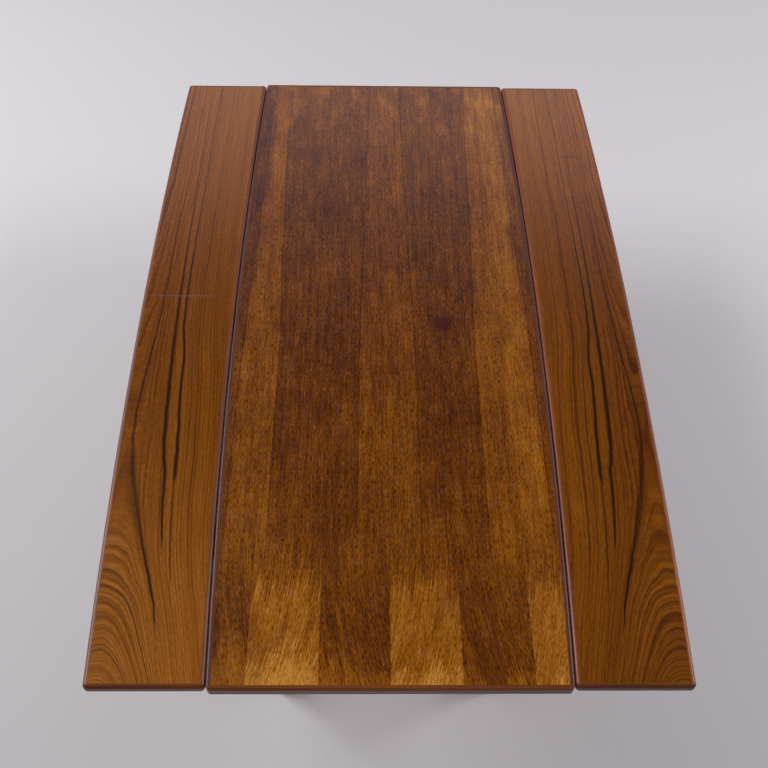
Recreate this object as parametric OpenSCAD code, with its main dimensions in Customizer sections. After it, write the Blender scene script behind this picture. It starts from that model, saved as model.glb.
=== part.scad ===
// Drop leaf table: a fixed centre panel on a frame with four turned legs, and a hinged leaf
// along each long side. The long edges and both joints are gently bowed, so the table is
// widest at mid-length. Each leaf hangs from three butt hinges on one straight line, and two
// slotted stays hold it. Origin on the floor under the middle: X across, Y along, Z up.

/* [Table] */
// Height of the top above the floor
table_h = 520; // [460:1:600]
// Width of the fixed centre panel at its ends
centre_w = 530; // [500:1:620]
// How far each long edge bows outwards at mid-length
bow = 16; // [8:1:22]
// Length of the fixed centre panel
centre_l = 1400; // [1300:1:1600]
// Thickness of the centre panel
centre_t = 20; // [18:0.5:26]
// Radius along the centre panel's upper and lower edges
centre_arris_r = 3; // [1:0.5:3.5]

/* [Leaves] */
// Width of one leaf
leaf_w = 174.5; // [150:0.5:220]
// Thickness of a leaf
leaf_t = 18; // [16:0.5:18]
// How much shorter the leaf is than the centre panel, at each end
leaf_inset = 3; // [0:0.5:20]
// Gap between the centre panel and a leaf
leaf_gap = 1.5; // [1:0.5:5]
// Radius along the leaf's upper and lower edges
leaf_arris_r = 5.5; // [2:0.5:5.5]

/* [Panel build] */
// Width of the solid wood lippings around each panel, and radius of the panels' corners
lip_w = 7; // [6:0.5:10]
// Thickness of the veneer on both faces
veneer_t = 1; // [0.6:0.1:1.5]
// Width of one veneer sheet on the centre panel
sheet_w = 105; // [90:1:130]
// Glue line between two veneer sheets
sheet_gap = 0.1; // [0.05:0.05:0.3]

/* [Frame] */
// Distance of the leg tops' axes from the centre panel's long edges at their ends
leg_inset_x = 80; // [70:1:90]
// Distance of the leg tops' axes from the centre panel's ends
leg_inset_y = 220; // [180:1:240]
// Height of the aprons and cross rails
apron_h = 50; // [46:1:52]
// Thickness of the aprons
apron_t = 20; // [18:1:24]
// Thickness of the cross rails
rail_t = 20; // [18:1:26]
// Distance of each cross rail's middle from the leg tops' axes, along the table
rail_inset = 150; // [130:1:170]
// Thickness of the cross rails' tenons
tenon_t = 10; // [6:0.5:12]
// Length of the cross rails' tenons
tenon_l = 12; // [6:0.5:15]
// Height of the cross rails' tenons
tenon_h = 30; // [20:1:36]
// Thickness of the corner blocks
block_t = 22; // [18:1:28]
// Reach of the corner blocks from the leg's axis along each apron
block_reach = 80; // [74:1:95]
// Length of a top fixing button, across the apron
button_l = 24; // [20:1:30]
// Width of a top fixing button
button_w = 28; // [20:1:40]
// Thickness of a top fixing button's body
button_t = 16; // [13:0.5:20]
// Thickness of a button's tongue
tongue_t = 8; // [5:0.5:9]
// Length of a button's tongue
tongue_l = 9; // [6:0.5:12]
// Spacing of the buttons along the side aprons
button_pitch = 220; // [150:1:240]

/* [Legs] */
// Diameter of a leg at its top
leg_top_d = 45; // [42:1:50]
// Diameter of a leg at its foot
leg_foot_d = 28; // [24:1:36]
// Length of the leg's straight upper part
leg_straight = 70; // [60:1:120]
// How far a foot stands out from the leg's top, across the table
splay_x = 13; // [0:1:40]
// How far a foot stands out from the leg's top, along the table
splay_y = 26; // [0:1:50]
// Rounding at the rim of the foot
foot_rim_r = 3; // [1:0.5:5]
// Diameter of a glide
glide_d = 22; // [16:1:23]
// Thickness of a glide
glide_h = 4; // [2:0.5:6]

/* [Hinges] */
// Length of a hinge along the joint
hinge_l = 60; // [55:1:80]
// Width of one hinge plate, from the pin's axis to its far edge
hinge_plate_w = 40; // [36:1:46]
// Thickness of the hinge plates
hinge_plate_t = 1.5; // [1.2:0.1:2]
// Radius of the hinge knuckles
knuckle_r = 3.5; // [3.2:0.1:4.5]
// Radius of the hinge pins
pin_r = 2; // [1.5:0.1:2.2]
// Distance of the outer hinges' middles from the centre panel's ends
hinge_inset = 250; // [220:1:290]

/* [Stays] */
// Distance of the studs inside the inner faces of the side aprons
stud_in = 1.5; // [0:0.5:4]
// Depth of the rivet below the underside of the leaf
rivet_drop = 12; // [10:0.5:14]
// Angle of the line from the hinge axis to the stud, below the horizontal
stud_angle = 38; // [36:0.5:42]
// Width of a stay
stay_w = 14; // [12:0.5:16]
// Thickness of a stay
stay_t = 2.5; // [2:0.1:3]
// Radius of the studs
stud_r = 3; // [2.5:0.1:3.5]
// Radius of the rivets
rivet_r = 2.5; // [2:0.1:3]
// Thickness of the stud brackets and of the leaf lugs
plate_t = 3; // [2:0.1:4]
// Radius of the clamping nuts
nut_r = 9; // [7:0.5:11]
// Height of the clamping nuts
nut_h = 10; // [7:0.5:14]

/* [Fasteners] */
// Diameter of the small countersunk screws
screw_d = 3.5; // [3:0.1:4]
// Length of the screws in the hinges, lugs and brackets
screw_l = 14; // [10:0.5:15]
// Diameter of the screws in the buttons and corner blocks
long_screw_d = 4; // [3.5:0.1:5]
// Length of the screws in the buttons and corner blocks
long_screw_l = 28; // [22:0.5:30]
// Diameter of the dowels
dowel_d = 8; // [6:0.5:9]
// Length of the dowels
dowel_l = 40; // [34:1:50]
// Distance between the two dowels of a joint
dowel_pitch = 24; // [22:1:26]
// Diameter of the leg bolts
bolt_d = 8; // [6:0.5:8]

/* [Hidden] */
$fn = 48;
eps = 0.01;
past = 1;

// Named clearances
fit_clear = 0.1;      // screws, dowels, bolts and tenons in their holes
run_clear = 0.05;     // pins, rivets and studs in their bores
knuckle_gap = 0.3;    // between neighbouring hinge knuckles
slide_clear = 0.3;    // stud in the stay's slot, and a knuckle under the top
stay_clear = 0.5;     // beside the stay's two faces
cope_clear = 0.15;    // apron ends against the round legs

// Levels and outlines
centre_under = table_h - centre_t;
leaf_under = table_h - leaf_t;
centre_half_l = centre_l / 2;
leaf_half_l = centre_half_l - leaf_inset;
frame_w = centre_w - 2 * leg_inset_x;
frame_l = centre_l - 2 * leg_inset_y;
apron_z0 = centre_under - apron_h;
apron_mid_z = centre_under - apron_h / 2;
apron_in_x = frame_w / 2 - apron_t / 2;
apron_in_y = frame_l / 2 - apron_t / 2;
rail_y = frame_l / 2 - rail_inset;
rail_face_y = rail_y + rail_t / 2;

// Bowed edges: on each side of the table they are arcs about one far centre at edge_cx. The
// end lippings reach in to centre_in_y and leaf_in_y, where the panels' rounded corners
// have their middles, and the side lippings end square to their own curve there.
edge_r = round((pow(centre_half_l, 2) + pow(bow, 2)) / (2 * bow));
edge_cx = centre_w / 2 + bow - edge_r;
leaf_inner_r = edge_r + leaf_gap;
leaf_outer_r = leaf_inner_r + leaf_w;
centre_in_y = centre_half_l - lip_w;
leaf_in_y = leaf_half_l - lip_w;
side_arc_r = edge_r - lip_w;
inner_arc_r = leaf_inner_r + lip_w;
outer_arc_r = leaf_outer_r - lip_w;
arc_steps = 1440;

// Hinges: three along each leaf, five knuckles in each. Their pins are in line under the
// joint where it is widest, and the outer hinges lie a little outside the joint.
hinge_x = centre_w / 2 + bow + leaf_gap / 2;
hinge_z = centre_under - knuckle_r - slide_clear;
hinge_y = centre_half_l - hinge_inset;
hinge_places = [-hinge_y, 0, hinge_y];
knuckles = 5;
knuckle_l = hinge_l / knuckles;
pin_head_r = knuckle_r - 0.4;
pin_head_t = 1;
hinge_screw_x = hinge_plate_w - 12;
hinge_screw_step = 6;
hinge_screw_y = 20;

// Screws
screw_head_r = screw_d;
long_head_r = long_screw_d;
slot_w = 0.8;
slot_depth = 0.7;

// Stays, for the quarter with positive X and Y. The rivet and the stud lie at one distance
// from the hinge axis, so the stay turns in the leaf by exactly half of the leaf's angle.
stud_x = apron_in_x - stud_in;
stay_reach = (hinge_x - stud_x) / cos(stud_angle);
stud_z = hinge_z - stay_reach * sin(stud_angle);
rivet_z = leaf_under - rivet_drop;
rivet_x = hinge_x + sqrt(pow(stay_reach, 2) - pow(hinge_z - rivet_z, 2));
leaf_swing = 90;
start_angle = 180 - stud_angle - asin((hinge_z - rivet_z) / stay_reach);
span_up = 2 * stay_reach * sin(start_angle / 2);
span_down = 2 * stay_reach * sin((start_angle - leaf_swing) / 2);
stay_tilt = atan2(rivet_z - stud_z, rivet_x - stud_x);
stay_end_wall = 4;
stay_end = stud_r + slide_clear + stay_end_wall;
bracket_y0 = rail_face_y;
stay_y0 = bracket_y0 + plate_t + 2 * stay_clear;
lug_y0 = stay_y0 + stay_t + stay_clear;
lug_t = plate_t - 1;
lug_l = 44;
lug_base_w = 20;
lug_screw_in = 8;
ear_wall = 2;
rivet_head_r = rivet_r * 2;
rivet_head_t = 1.2;
rivet_head_clear = 0.2;
collar_t = 2 * stay_clear - rivet_head_clear;
collar_r = stud_r + 2;
washer_t = 1.2;
washer_r = stud_r + 4;
washer_y0 = stay_y0 + stay_t + rivet_head_clear;
nut_y0 = washer_y0 + washer_t + run_clear;
nut_grooves = 20;
groove_r = 0.7;
stud_proud = 2;
bracket_w = 26;
bracket_margin = 6;
bracket_x1 = apron_in_x - 3;
bracket_r = stud_r + 8;

// Legs and corner joints
leg_axis_l = norm([splay_x, splay_y, centre_under]);
leg_lean = acos(centre_under / leg_axis_l);
leg_heading = atan2(splay_y, splay_x);
leg_past = 30;
dowel_stop = 5;
nail_d = 3;
nail_l = 16;
diag = sqrt(2);
block_gap = 3;
bolt_stop = 7;
bolt_head_t = 1.6;
bolt_out = (block_reach + apron_t / 2) / diag;
hex_nut_t = 6.5;
hex_nut_r = bolt_d * 0.94;
hex_washer_r = bolt_d * 1.1;
bolt_proud = bolt_head_t + hex_nut_t + 2;
block_screw_v = block_reach - 12;
screw_skin = 3;       // wood left in front of a corner block screw's tip
block_screw_u = long_screw_l - apron_t / 2 + screw_skin;

// Buttons
button_x = [-button_pitch, 0, button_pitch];
button_shy = 1;
button_depth = 2 * button_shy;

// ---------------------------------------------------------------- placing

// The quarters are drawn for positive X and Y and mirrored to the others
module quarter(sx, sy) {
    mirror([sx < 0 ? 1 : 0, 0, 0])
        mirror([0, sy < 0 ? 1 : 0, 0])
            children();
}

module each_quarter() {
    for (sx = [-1, 1])
        for (sy = [-1, 1])
            quarter(sx, sy)
                children();
}

module both_ends(sx) {
    for (sy = [-1, 1])
        quarter(sx, sy)
            children();
}

// At a leg's top axis, with X and Y pointing along the two aprons towards the middle
module at_corner() {
    translate([frame_w / 2, frame_l / 2, 0])
        rotate([0, 0, 180])
            children();
}

// ---------------------------------------------------------------- fasteners

// Countersunk screw that points along +Z, with the top of its head at z = 0
module screw(d, l, head_r) {
    tip = d;
    difference() {
        rotate_extrude($fn = 24)
            polygon([[0, 0], [head_r, 0], [d / 2, head_r - d / 2], [d / 2, l - tip], [0, l]]);
        translate([-head_r - past, -slot_w / 2, -past])
            cube([2 * (head_r + past), slot_w, slot_depth + past]);
    }
}

// The hole for that screw, open outwards by reach
module screw_hole(d, l, head_r, reach = 1) {
    r = d / 2 + fit_clear;
    hr = head_r + fit_clear;
    rotate_extrude($fn = 24)
        polygon([[0, -reach], [hr, -reach], [hr, 0], [r, hr - r], [r, l + fit_clear],
                 [0, l + fit_clear]]);
}

module dowel_shape(clear = 0) {
    cylinder(r = dowel_d / 2 + clear, h = dowel_l + 2 * clear);
}

// ---------------------------------------------------------------- panels

// Cross-section of a panel's edge: outside at x = 0, rounded above and below
module edge_section(depth, t, arris) {
    intersection() {
        square([depth, t]);
        union() {
            translate([arris, 0])
                square([depth, t]);
            translate([0, arris])
                square([depth, t - 2 * arris]);
            for (z = [arris, t - arris])
                translate([arris, z])
                    circle(r = arris);
        }
    }
}

// Where an arc about the far centre stands at the distance y from mid-length, to 0.01 mm
function arc_x(r, y) = round(100 * (edge_cx + sqrt(pow(r, 2) - pow(y, 2)))) / 100;

// How far the bowed edges lean there
function arc_lean(r, y) = asin(y / r);

// Turns a section about the right half's far centre, from -lean to lean
module bowed(lean) {
    for (flip = [0, 1])
        mirror([0, flip, 0])
            translate([edge_cx, 0, 0])
                rotate_extrude(angle = lean, $fn = arc_steps)
                    children();
}

// Lipping along a bowed side whose inner arc is arc_r. out is 1 where the edge bulges out of
// its panel and -1 where it is hollow.
module side_lipping(arc_r, out, in_y, z, t, arris) {
    translate([0, 0, z])
        bowed(arc_lean(arc_r, in_y))
            translate([arc_r + out * lip_w, 0])
                mirror([out > 0 ? 1 : 0, 0])
                    edge_section(lip_w, t, arris);
}

// Rounded corner of a panel, as a turn from +Y towards +X
module lipping_corner(turn, t, arris) {
    rotate([0, 0, 90])
        mirror([0, 1, 0])
            rotate_extrude(angle = turn)
                translate([lip_w, 0])
                    mirror([1, 0])
                        edge_section(lip_w, t, arris);
}

// The straight lipping at +Y with the panel's two corners, whose middles are at x0 and x1
module end_lipping(x0, x1, turn0, turn1, in_y, z, t, arris) {
    translate([x0, in_y, z]) {
        translate([0, lip_w, 0])
            rotate([90, 0, 90])
                linear_extrude(x1 - x0)
                    mirror([1, 0])
                        edge_section(lip_w, t, arris);
        mirror([1, 0, 0])
            lipping_corner(turn0, t, arris);
    }
    translate([x1, in_y, z])
        lipping_corner(turn1, t, arris);
}

// Flat layer of the centre panel inside its lippings, from x0 to x1
module centre_layer(z, h, x0 = -centre_w, x1 = centre_w) {
    translate([0, 0, z])
        linear_extrude(h)
            intersection() {
                translate([x0, -centre_in_y])
                    square([x1 - x0, 2 * centre_in_y]);
                translate([edge_cx, 0])
                    circle(r = side_arc_r, $fn = arc_steps);
                translate([-edge_cx, 0])
                    circle(r = side_arc_r, $fn = arc_steps);
            }
}

// Flat layer of the right leaf inside its lippings
module leaf_layer(z, h) {
    translate([0, 0, z])
        intersection() {
            translate([0, -leaf_in_y, -past])
                cube([centre_w + leaf_w, 2 * leaf_in_y, h + 2 * past]);
            bowed(arc_lean(inner_arc_r, leaf_half_l))
                translate([inner_arc_r, 0])
                    square([outer_arc_r - inner_arc_r, h]);
        }
}

module centre_screw_holes() {
    for (sx = [-1, 1])
        quarter(sx, 1)
            hinge_screw_places(-1, centre_under - hinge_plate_t)
                screw_hole(screw_d, screw_l, screw_head_r);
    button_places()
        button_screw_place()
            screw_hole(long_screw_d, long_screw_l, long_head_r);
}

module leaf_screw_holes() {
    hinge_screw_places(1, leaf_under - hinge_plate_t)
        screw_hole(screw_d, screw_l, screw_head_r);
    both_ends(1)
        lug_screw_places()
            screw_hole(screw_d, screw_l, screw_head_r);
}

module centre_core() {
    color("burlywood")
        difference() {
            centre_layer(centre_under + veneer_t, centre_t - 2 * veneer_t);
            centre_screw_holes();
        }
}

// Quarter-cut sheets laid side by side from the middle outwards, the outermost ones bowed
module centre_top_veneer() {
    last = ceil((centre_w / 2 + bow - lip_w) / sheet_w);
    color("saddlebrown")
        for (k = [-last : last - 1])
            centre_layer(table_h - veneer_t, veneer_t, k * sheet_w + sheet_gap / 2,
                         (k + 1) * sheet_w - sheet_gap / 2);
}

module centre_backing_veneer() {
    color("sienna")
        difference() {
            centre_layer(centre_under, veneer_t);
            centre_screw_holes();
        }
}

module centre_side_lippings() {
    color("sienna")
        for (sx = [-1, 1])
            quarter(sx, 1)
                side_lipping(side_arc_r, 1, centre_in_y, centre_under, centre_t,
                             centre_arris_r);
}

module centre_end_lippings() {
    x = arc_x(side_arc_r, centre_in_y);
    turn = 90 - arc_lean(side_arc_r, centre_in_y);
    color("sienna")
        both_ends(1)
            end_lipping(-x, x, turn, turn, centre_in_y, centre_under, centre_t,
                        centre_arris_r);
}

module leaf_core(sx) {
    color("burlywood")
        quarter(sx, 1)
            difference() {
                leaf_layer(leaf_under + veneer_t, leaf_t - 2 * veneer_t);
                leaf_screw_holes();
            }
}

module leaf_top_veneer(sx) {
    color("peru")
        quarter(sx, 1)
            leaf_layer(table_h - veneer_t, veneer_t);
}

module leaf_backing_veneer(sx) {
    color("sienna")
        quarter(sx, 1)
            difference() {
                leaf_layer(leaf_under, veneer_t);
                leaf_screw_holes();
            }
}

module leaf_side_lippings(sx) {
    color("chocolate")
        quarter(sx, 1)
            for (side = [[inner_arc_r, -1], [outer_arc_r, 1]])
                side_lipping(side[0], side[1], leaf_in_y, leaf_under, leaf_t, leaf_arris_r);
}

module leaf_end_lippings(sx) {
    color("chocolate")
        both_ends(sx)
            end_lipping(arc_x(inner_arc_r, leaf_in_y), arc_x(outer_arc_r, leaf_in_y),
                        90 + arc_lean(inner_arc_r, leaf_in_y),
                        90 - arc_lean(outer_arc_r, leaf_in_y),
                        leaf_in_y, leaf_under, leaf_t, leaf_arris_r);
}

// ---------------------------------------------------------------- legs

// One leg in the quarter with positive X and Y, grown by clear for the apron's cope
module leg_turning(clear = 0) {
    foot_r = leg_foot_d / 2;
    top_r = leg_top_d / 2;
    translate([frame_w / 2 + splay_x, frame_l / 2 + splay_y, 0])
        rotate([0, -leg_lean, leg_heading]) {
            translate([0, 0, -leg_past])
                cylinder(r = foot_r + clear, h = leg_past);
            cylinder(r1 = foot_r + clear, r2 = top_r + clear, h = leg_axis_l - leg_straight);
            translate([0, 0, leg_axis_l - leg_straight])
                cylinder(r = top_r + clear, h = leg_straight + leg_past);
        }
}

module leg_space() {
    translate([0, 0, glide_h])
        cube([centre_w, centre_l, centre_under - glide_h]);
}

// The foot's rim is rounded by a turned cutter about the upright through the foot
module foot_rim_cutter() {
    r = leg_foot_d / 2;
    wide = r * 2;
    translate([frame_w / 2 + splay_x, frame_l / 2 + splay_y, glide_h])
        rotate_extrude()
            difference() {
                translate([r - foot_rim_r, -past])
                    square([wide, foot_rim_r + past]);
                translate([r - foot_rim_r, foot_rim_r])
                    circle(r = foot_rim_r);
                translate([r - foot_rim_r - eps, foot_rim_r])
                    square([wide + 2 * eps, foot_rim_r]);
            }
}

module leg(sx, sy) {
    color("sienna")
        quarter(sx, sy)
            difference() {
                intersection() {
                    leg_turning();
                    leg_space();
                }
                foot_rim_cutter();
                dowel_holes();
                at_corner()
                    leg_bolt_place()
                        cylinder(r = bolt_d / 2 + fit_clear,
                                 h = bolt_out - bolt_stop + bolt_proud);
                translate([frame_w / 2 + splay_x, frame_l / 2 + splay_y, 0])
                    cylinder(d = nail_d + 2 * fit_clear, h = glide_h + nail_l + fit_clear);
            }
}

module foot_glides() {
    color("dimgray")
        each_quarter()
            translate([frame_w / 2 + splay_x, frame_l / 2 + splay_y, 0]) {
                rotate_extrude()
                    polygon([[0, 0], [glide_d / 2 - 1, 0], [glide_d / 2, 1],
                             [glide_d / 2, glide_h], [0, glide_h]]);
                cylinder(d = nail_d, h = glide_h + nail_l);
            }
}

// ---------------------------------------------------------------- frame

// The four dowels at one leg: two along each apron
module dowel_places() {
    for (z = [-1, 1])
        translate([0, 0, apron_mid_z + z * dowel_pitch / 2])
            at_corner() {
                translate([dowel_stop, 0, 0])
                    rotate([0, 90, 0])
                        children();
                translate([0, dowel_stop, 0])
                    rotate([-90, 0, 0])
                        children();
            }
}

module dowel_holes() {
    dowel_places()
        translate([0, 0, -fit_clear])
            dowel_shape(fit_clear);
}

module apron_dowels() {
    color("wheat")
        each_quarter()
            dowel_places()
                dowel_shape();
}

module leg_bolt_place() {
    translate([0, 0, apron_mid_z])
        rotate([0, 90, 45])
            translate([0, 0, bolt_stop])
                children();
}

module side_apron(sx) {
    color("sienna")
        quarter(sx, 1)
            difference() {
                translate([apron_in_x, -frame_l / 2, apron_z0])
                    cube([apron_t, frame_l, apron_h]);
                both_ends(1) {
                    leg_turning(cope_clear);
                    dowel_holes();
                    block_screw_place()
                        screw_hole(long_screw_d, long_screw_l, long_head_r);
                    translate([apron_in_x - past, rail_y - tenon_t / 2 - fit_clear,
                               apron_mid_z - tenon_h / 2 - fit_clear])
                        cube([tenon_l + fit_clear + past, tenon_t + 2 * fit_clear,
                              tenon_h + 2 * fit_clear]);
                }
                for (y = button_x)
                    translate([apron_in_x, y, 0])
                        tongue_slot();
            }
}

module end_apron(sy) {
    color("sienna")
        quarter(1, sy)
            difference() {
                translate([-frame_w / 2, apron_in_y, apron_z0])
                    cube([frame_w, apron_t, apron_h]);
                for (sx = [-1, 1])
                    quarter(sx, 1) {
                        leg_turning(cope_clear);
                        dowel_holes();
                        block_screw_place_across()
                            screw_hole(long_screw_d, long_screw_l, long_head_r);
                    }
                translate([0, apron_in_y, 0])
                    rotate([0, 0, 90])
                        tongue_slot();
            }
}

module cross_rail(sy) {
    color("sienna")
        quarter(1, sy)
            difference() {
                union() {
                    translate([-apron_in_x, rail_y - rail_t / 2, apron_z0])
                        cube([2 * apron_in_x, rail_t, apron_h]);
                    translate([-apron_in_x - tenon_l, rail_y - tenon_t / 2,
                               apron_mid_z - tenon_h / 2])
                        cube([2 * (apron_in_x + tenon_l), tenon_t, tenon_h]);
                }
                for (sx = [-1, 1])
                    quarter(sx, 1)
                        bracket_screw_places()
                            screw_hole(screw_d, screw_l, screw_head_r);
            }
}

// Diagonal block between two aprons, with the leg bolt through its middle
module corner_blocks() {
    near = apron_t / 2;
    reach_in = block_reach - block_t * diag;
    color("burlywood")
        each_quarter()
            difference() {
                at_corner()
                    translate([0, 0, apron_z0 + block_gap])
                        linear_extrude(apron_h - 2 * block_gap)
                            polygon([[near, block_reach], [near, reach_in],
                                     [reach_in, near], [block_reach, near]]);
                at_corner()
                    leg_bolt_place()
                        cylinder(r = bolt_d / 2 + fit_clear, h = bolt_out);
                block_screw_place()
                    screw_hole(long_screw_d, long_screw_l, long_head_r, block_t);
                block_screw_place_across()
                    screw_hole(long_screw_d, long_screw_l, long_head_r, block_t);
            }
}

// Screw from the block into the side apron, pointing along +X
module block_screw_place() {
    at_corner()
        translate([block_screw_u, block_screw_v, apron_mid_z])
            rotate([0, -90, 0])
                children();
}

// Screw from the block into the end apron, pointing along +Y
module block_screw_place_across() {
    at_corner()
        translate([block_screw_v, block_screw_u, apron_mid_z])
            rotate([90, 0, 0])
                children();
}

module corner_block_screws() {
    color("silver")
        each_quarter() {
            block_screw_place()
                screw(long_screw_d, long_screw_l, long_head_r);
            block_screw_place_across()
                screw(long_screw_d, long_screw_l, long_head_r);
        }
}

module leg_bolts() {
    color("silver")
        each_quarter()
            at_corner()
                leg_bolt_place()
                    cylinder(d = bolt_d, h = bolt_out - bolt_stop + bolt_proud);
}

module leg_bolt_washers() {
    color("silver")
        each_quarter()
            at_corner()
                leg_bolt_place()
                    translate([0, 0, bolt_out - bolt_stop])
                        difference() {
                            cylinder(r = hex_washer_r, h = bolt_head_t);
                            translate([0, 0, -past])
                                cylinder(r = bolt_d / 2 + fit_clear,
                                         h = bolt_head_t + 2 * past);
                        }
}

module leg_bolt_nuts() {
    color("silver")
        each_quarter()
            at_corner()
                leg_bolt_place()
                    translate([0, 0, bolt_out - bolt_stop + bolt_head_t])
                        difference() {
                            cylinder(r = hex_nut_r, h = hex_nut_t, $fn = 6);
                            translate([0, 0, -past])
                                cylinder(r = bolt_d / 2 + fit_clear,
                                         h = hex_nut_t + 2 * past);
                        }
}

// ---------------------------------------------------------------- top buttons

// A button's own frame: apron face at x = 0, the apron towards +X
module button_places() {
    for (sx = [-1, 1])
        for (y = button_x)
            quarter(sx, 1)
                translate([apron_in_x, y, 0])
                    children();
    for (sy = [-1, 1])
        quarter(1, sy)
            translate([0, apron_in_y, 0])
                rotate([0, 0, 90])
                    children();
}

module button_screw_place() {
    translate([-button_shy - button_l / 2, 0, centre_under - button_t])
        children();
}

module tongue_slot() {
    low = centre_under - button_t;
    translate([-past, -button_w / 2 - button_shy, low - fit_clear])
        cube([tongue_l + button_depth + past, button_w + 2 * button_shy,
              tongue_t + 2 * fit_clear]);
}

module top_buttons() {
    color("burlywood")
        button_places()
            difference() {
                union() {
                    translate([-button_shy - button_l, -button_w / 2,
                               centre_under - button_t])
                        cube([button_l, button_w, button_t]);
                    translate([-button_shy - eps, -button_w / 2, centre_under - button_t])
                        cube([tongue_l + button_shy, button_w, tongue_t]);
                }
                button_screw_place()
                    screw_hole(long_screw_d, long_screw_l, long_head_r);
            }
}

module top_button_screws() {
    color("silver")
        button_places()
            button_screw_place()
                screw(long_screw_d, long_screw_l, long_head_r);
}

// ---------------------------------------------------------------- hinges

// Screws of the three hinges' plates on one side of the pin, dir -1 in the centre panel
// and 1 in the leaf. z is the level of the screw heads.
module hinge_screw_places(dir, z) {
    for (y = hinge_places)
        for (k = [-1, 0, 1])
            translate([hinge_x + dir * (hinge_screw_x - (k == 0 ? hinge_screw_step : 0)),
                       y + k * hinge_screw_y, z])
                children();
}

// Ring about the pin for knuckle k of a hinge
module knuckle(k) {
    gap = knuckle_gap / 2;
    translate([0, -hinge_l / 2 + k * knuckle_l + gap, 0])
        rotate([-90, 0, 0])
            cylinder(r = knuckle_r, h = knuckle_l - 2 * gap);
}

// Plates of the three hinges on one side: dir -1 fixed, 1 on the leaf. first is the first
// knuckle of this half, and every second one follows. under is the panel's underside.
module hinge_half(dir, first, under) {
    wide = knuckle_r + slide_clear;
    gap = knuckle_gap / 2;
    for (y = hinge_places)
        translate([hinge_x, y, hinge_z])
            difference() {
                union() {
                    mirror([dir < 0 ? 1 : 0, 0, 0])
                        translate([wide, -hinge_l / 2, under - hinge_z - hinge_plate_t])
                            cube([hinge_plate_w - wide, hinge_l, hinge_plate_t]);
                    for (k = [first : 2 : knuckles - 1]) {
                        knuckle(k);
                        mirror([dir < 0 ? 1 : 0, 0, 0])
                            translate([knuckle_r - hinge_plate_t,
                                       -hinge_l / 2 + k * knuckle_l + gap, 0])
                                cube([hinge_plate_t, knuckle_l - 2 * gap, under - hinge_z]);
                        mirror([dir < 0 ? 1 : 0, 0, 0])
                            translate([knuckle_r - hinge_plate_t,
                                       -hinge_l / 2 + k * knuckle_l + gap,
                                       under - hinge_z - hinge_plate_t])
                                cube([2 * hinge_plate_t, knuckle_l - 2 * gap, hinge_plate_t]);
                    }
                }
                translate([0, -hinge_l / 2 - past, 0])
                    rotate([-90, 0, 0])
                        cylinder(r = pin_r + run_clear, h = hinge_l + 2 * past);
            }
}

module hinge_plates(sx, dir, first, under) {
    color("darkgoldenrod")
        quarter(sx, 1)
            difference() {
                hinge_half(dir, first, under);
                hinge_screw_places(dir, under - hinge_plate_t)
                    screw_hole(screw_d, screw_l, screw_head_r);
            }
}

module hinge_pins(sx) {
    end = hinge_l / 2 + run_clear;
    color("goldenrod")
        quarter(sx, 1)
            for (y = hinge_places)
                translate([hinge_x, y, hinge_z])
                    rotate([-90, 0, 0]) {
                        translate([0, 0, -end])
                            cylinder(r = pin_r, h = 2 * end);
                        for (z = [-end - pin_head_t, end])
                            translate([0, 0, z])
                                cylinder(r = pin_head_r, h = pin_head_t);
                    }
}

module fixed_hinge_screws() {
    color("goldenrod")
        for (sx = [-1, 1])
            quarter(sx, 1)
                hinge_screw_places(-1, centre_under - hinge_plate_t)
                    screw(screw_d, screw_l, screw_head_r);
}

module leaf_hinge_screws(sx) {
    color("goldenrod")
        quarter(sx, 1)
            hinge_screw_places(1, leaf_under - hinge_plate_t)
                screw(screw_d, screw_l, screw_head_r);
}

// ---------------------------------------------------------------- stays

// Cylinder along +Y from y0, about the point x, z
module along_y(x, z, y0, r, h) {
    translate([x, y0, z])
        rotate([-90, 0, 0])
            cylinder(r = r, h = h);
}

module lug_screw_places() {
    for (dx = [-1, 1])
        translate([rivet_x + dx * (lug_l / 2 - lug_screw_in), lug_y0 + lug_base_w / 2 + lug_t / 2,
                   leaf_under - lug_t])
            children();
}

// Angle bracket under the leaf: a flat base with two screws and an ear for the rivet
module stay_lugs(sx) {
    ear_r = rivet_head_r + ear_wall;
    color("silver")
        both_ends(sx)
            difference() {
                union() {
                    translate([rivet_x - lug_l / 2, lug_y0, leaf_under - lug_t])
                        cube([lug_l, lug_base_w, lug_t]);
                    translate([rivet_x - ear_r, lug_y0, rivet_z])
                        cube([2 * ear_r, lug_t, rivet_drop]);
                    along_y(rivet_x, rivet_z, lug_y0, ear_r, lug_t);
                }
                along_y(rivet_x, rivet_z, lug_y0 - past, rivet_r + run_clear,
                        lug_t + 2 * past);
                lug_screw_places()
                    screw_hole(screw_d, screw_l, screw_head_r);
            }
}

module lug_screws(sx) {
    color("silver")
        both_ends(sx)
            lug_screw_places()
                screw(screw_d, screw_l, screw_head_r);
}

module stay_rivets(sx) {
    inner = stay_y0 - rivet_head_clear;
    outer = lug_y0 + lug_t + run_clear;
    color("silver")
        both_ends(sx) {
            along_y(rivet_x, rivet_z, inner - eps, rivet_r, outer - inner + 2 * eps);
            along_y(rivet_x, rivet_z, inner - rivet_head_t, rivet_head_r, rivet_head_t);
            along_y(rivet_x, rivet_z, outer, rivet_head_r, rivet_head_t);
        }
}

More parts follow.
